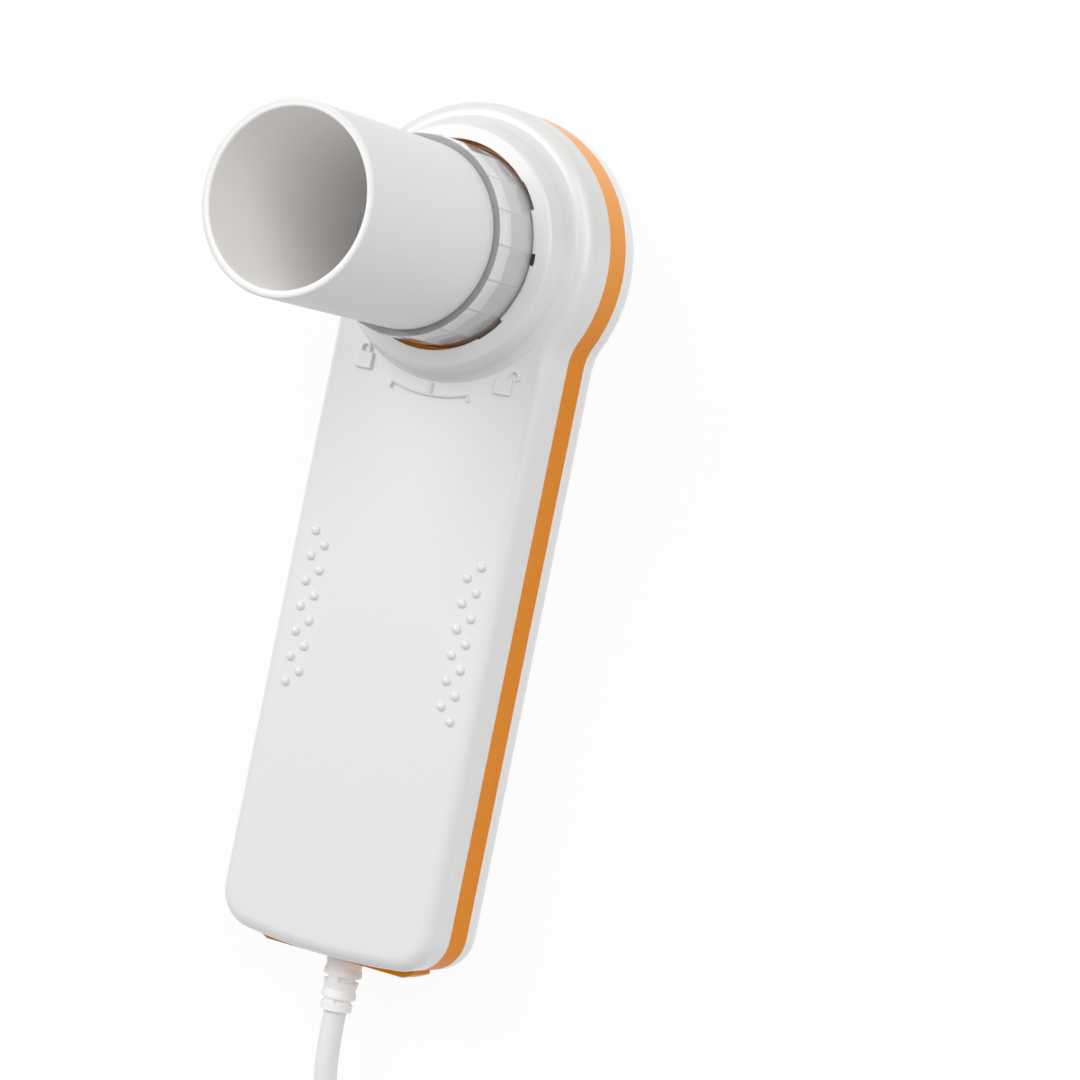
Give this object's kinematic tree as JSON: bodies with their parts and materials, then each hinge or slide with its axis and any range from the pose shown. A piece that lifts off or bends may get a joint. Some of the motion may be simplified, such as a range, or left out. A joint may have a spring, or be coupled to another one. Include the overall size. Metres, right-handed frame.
{
  "type": "spirometer",
  "caption": "Handheld turbine spirometer with a clear bayonet turbine, a round board mouthpiece, an orange band and a USB cable.",
  "frame": {"origin": "centre of the housing's length and width, on the surface that its rear face lies on", "axes": "+Z out of the front face and along the mouthpiece, +Y towards the turbine head, +X across the housing"},
  "size_m": [0.0706, 0.2483, 0.0694],
  "materials": {
    "white_housing": "satin moulded plastic, fine texture",
    "orange_frame": "satin moulded plastic",
    "clear_plastic": "clear polished plastic",
    "white_board": "smooth coated white board",
    "swirler_plastic": "milky clear plastic",
    "bearing_plastic": "polished",
    "rotor_plastic": "smooth film",
    "sensor_plastic": "tinted infrared resin",
    "circuit_board": "green solder mask",
    "chip_plastic": "black epoxy",
    "socket_plastic": "natural nylon",
    "steel": "plated steel",
    "gold_contacts": "gold-plated contacts",
    "cable_rubber": "soft white jacket",
    "plug_rubber": "soft white moulding",
    "wire_rubber": "coloured wire insulation",
    "tie_plastic": "soft band"
  },
  "bodies": {
    "housing": {"front_cover": "white_housing", "rear_cover": "white_housing", "mid_frame": "orange_frame", "ir_emitters": "sensor_plastic", "ir_receivers": "sensor_plastic", "sensor_board": "circuit_board", "main_board": "circuit_board", "controller": "chip_plastic", "interface_chip": "chip_plastic", "crystal": "steel", "small_parts": "chip_plastic", "board_link": "chip_plastic", "cable_socket": "socket_plastic", "case_screws": "steel", "board_screws": "steel", "sensor_board_screws": "steel", "saddle_screws": "steel", "strain_relief": "cable_rubber", "cable_saddle": "socket_plastic", "inner_sheath": "cable_rubber", "inner_wires": "wire_rubber", "usb_cable": "cable_rubber", "usb_cable_end": "cable_rubber", "cable_coil": "cable_rubber", "cable_tie": "tie_plastic", "plug_grip": "plug_rubber", "plug_shell": "steel", "plug_tongue": "socket_plastic", "plug_contacts": "gold_contacts"},
    "turbine": {"turbine_body": "clear_plastic", "rear_swirler": "swirler_plastic", "front_swirler": "swirler_plastic", "rear_bearing": "bearing_plastic", "front_bearing": "bearing_plastic"},
    "rotor": {"rotor_vane": "rotor_plastic", "rotor_axle": "steel"},
    "tube": {"mouthpiece": "white_board"}
  },
  "joints": [
    {"name": "turbine_lock", "type": "hinge", "parent": "housing", "child": "turbine", "pos_m": [0, 0.04615, 0.0164], "axis": [0, 0, 1], "range_deg": [0, 35]},
    {"name": "rotor_spin", "type": "hinge", "parent": "turbine", "child": "rotor", "pos_m": [0, 0.04615, 0.012], "axis": [0, 0, 1], "continuous": true},
    {"name": "mouthpiece_pull", "type": "slide", "parent": "turbine", "child": "tube", "axis": [0, 0, 1], "range_m": [0, 0.02]}
  ]
}
